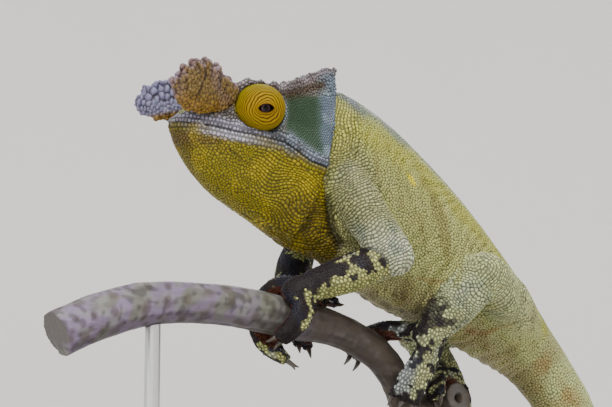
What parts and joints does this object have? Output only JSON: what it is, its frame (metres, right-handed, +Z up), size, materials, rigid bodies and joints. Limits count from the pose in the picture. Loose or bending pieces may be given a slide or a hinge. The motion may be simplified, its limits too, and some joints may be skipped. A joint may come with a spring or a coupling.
{
  "type": "parsons chameleon",
  "caption": "Still, life-size Parson's chameleon gripping a cut length of branch, its tail hanging and curled under, held over a flat display stand by thin rods.",
  "frame": {"origin": "centre of the display stand's underside", "axes": "+Z up; the animal faces -X and its left side is towards -Y; -Z is the outward normal of the stand's underside"},
  "size_m": [0.3147, 0.15, 0.2619],
  "materials": {
    "skin_green": "fine granular scales, olive to yellow-green, satin",
    "skin_throat": "granular scales, olive-yellow to ochre, satin",
    "skin_limb": "plated scales, pale yellow on purple-brown, satin",
    "skin_turret": "fine concentric wrinkles, yellow to orange, satin",
    "skin_horn": "warty scales, brown to lilac-grey, satin",
    "eye": "wet gloss",
    "claw": "smooth horn, satin",
    "bark": "smooth grey-violet bark, matt",
    "stand": "dark stained wood, satin",
    "rod": "brushed steel, satin"
  },
  "bodies": {
    "root": {"head": "skin_green", "neck": "skin_green", "torso": "skin_green", "tail_1": "skin_green", "tail_2": "skin_green", "tail_3": "skin_green", "tail_4": "skin_green", "jaw": "skin_throat", "horn_left": "skin_horn", "horn_right": "skin_horn", "eye_turret_left": "skin_turret", "eye_turret_right": "skin_turret", "eyeball_left": "eye", "eyeball_right": "eye", "upper_arm_left": "skin_limb", "forearm_left": "skin_limb", "hand_left": "skin_limb", "upper_arm_right": "skin_limb", "forearm_right": "skin_limb", "hand_right": "skin_limb", "thigh_left": "skin_limb", "shin_left": "skin_limb", "foot_left": "skin_limb", "thigh_right": "skin_limb", "shin_right": "skin_limb", "foot_right": "skin_limb", "claw_hand_left_1": "claw", "claw_hand_left_2": "claw", "claw_hand_left_3": "claw", "claw_hand_left_4": "claw", "claw_hand_left_5": "claw", "claw_hand_right_1": "claw", "claw_hand_right_2": "claw", "claw_hand_right_3": "claw", "claw_hand_right_4": "claw", "claw_hand_right_5": "claw", "claw_foot_left_1": "claw", "claw_foot_left_2": "claw", "claw_foot_left_3": "claw", "claw_foot_left_4": "claw", "claw_foot_left_5": "claw", "claw_foot_right_1": "claw", "claw_foot_right_2": "claw", "claw_foot_right_3": "claw", "claw_foot_right_4": "claw", "claw_foot_right_5": "claw", "branch": "bark", "stand_base": "stand", "stand_rod_front": "rod", "stand_rod_rear": "rod"}
  },
  "joints": []
}
